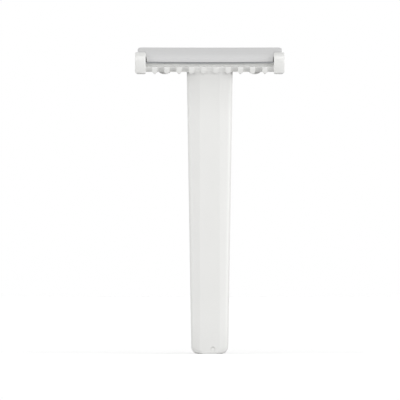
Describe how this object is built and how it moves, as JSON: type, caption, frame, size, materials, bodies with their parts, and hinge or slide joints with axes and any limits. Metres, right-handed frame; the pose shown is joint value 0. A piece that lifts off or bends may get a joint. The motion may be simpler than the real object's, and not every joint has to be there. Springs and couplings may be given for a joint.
{
  "type": "disposable razor",
  "caption": "T-shaped disposable razor in white plastic: hollow tapered handle, comb guard, end blocks and a domed cap pinned over a steel blade.",
  "frame": {"origin": "centre of the bounding box's bottom face, at the flat end of the handle", "axes": "+Z along the handle, from its flat end to the head; +X along the blade; the shaving side and the comb face -Y, and the handle's open back faces +Y"},
  "size_m": [0.0422, 0.0082, 0.0865],
  "materials": {
    "white_polystyrene": "moulded white polystyrene, satin",
    "white_polystyrene_cap": "moulded white polystyrene, satin",
    "blade_steel": "polished stainless strip with a ground edge"
  },
  "bodies": {
    "root": {"handle_and_guard": "white_polystyrene", "blade": "blade_steel", "blade_cap": "white_polystyrene_cap"}
  },
  "joints": []
}
